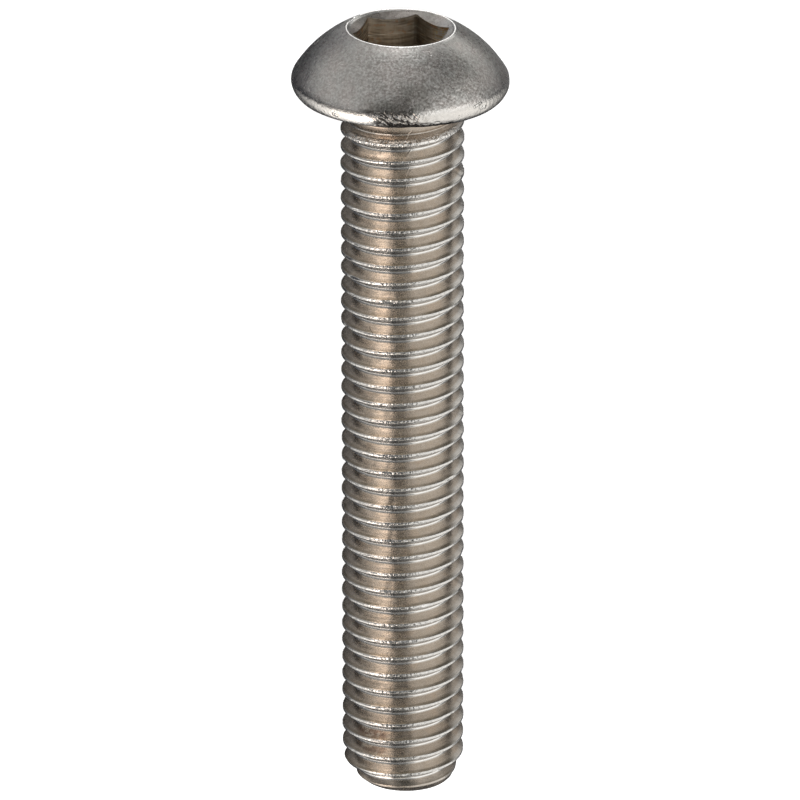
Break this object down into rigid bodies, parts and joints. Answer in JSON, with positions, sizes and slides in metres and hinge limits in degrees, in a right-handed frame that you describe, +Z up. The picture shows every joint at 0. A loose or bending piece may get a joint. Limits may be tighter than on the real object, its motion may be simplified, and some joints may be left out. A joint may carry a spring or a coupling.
{
  "type": "button head screw",
  "caption": "Domed button head screw with a hexagon socket and a straight shank threaded right up to the head.",
  "frame": {"origin": "on the floor, at the centre of the screw's bounding box as it lies on the rim of its head and the last full crest of its thread", "axes": "+Z up; -X towards the head and +X towards the end of the thread, with the screw's axis dipping 3.65 degrees below +X; +Y level across the screw"},
  "size_m": [0.0774, 0.0204, 0.0205],
  "materials": {
    "stainless_steel": "as-forged satin stainless steel, bright along the thread crests and roots"
  },
  "bodies": {
    "root": {"button_head_screw": "stainless_steel"}
  },
  "joints": []
}
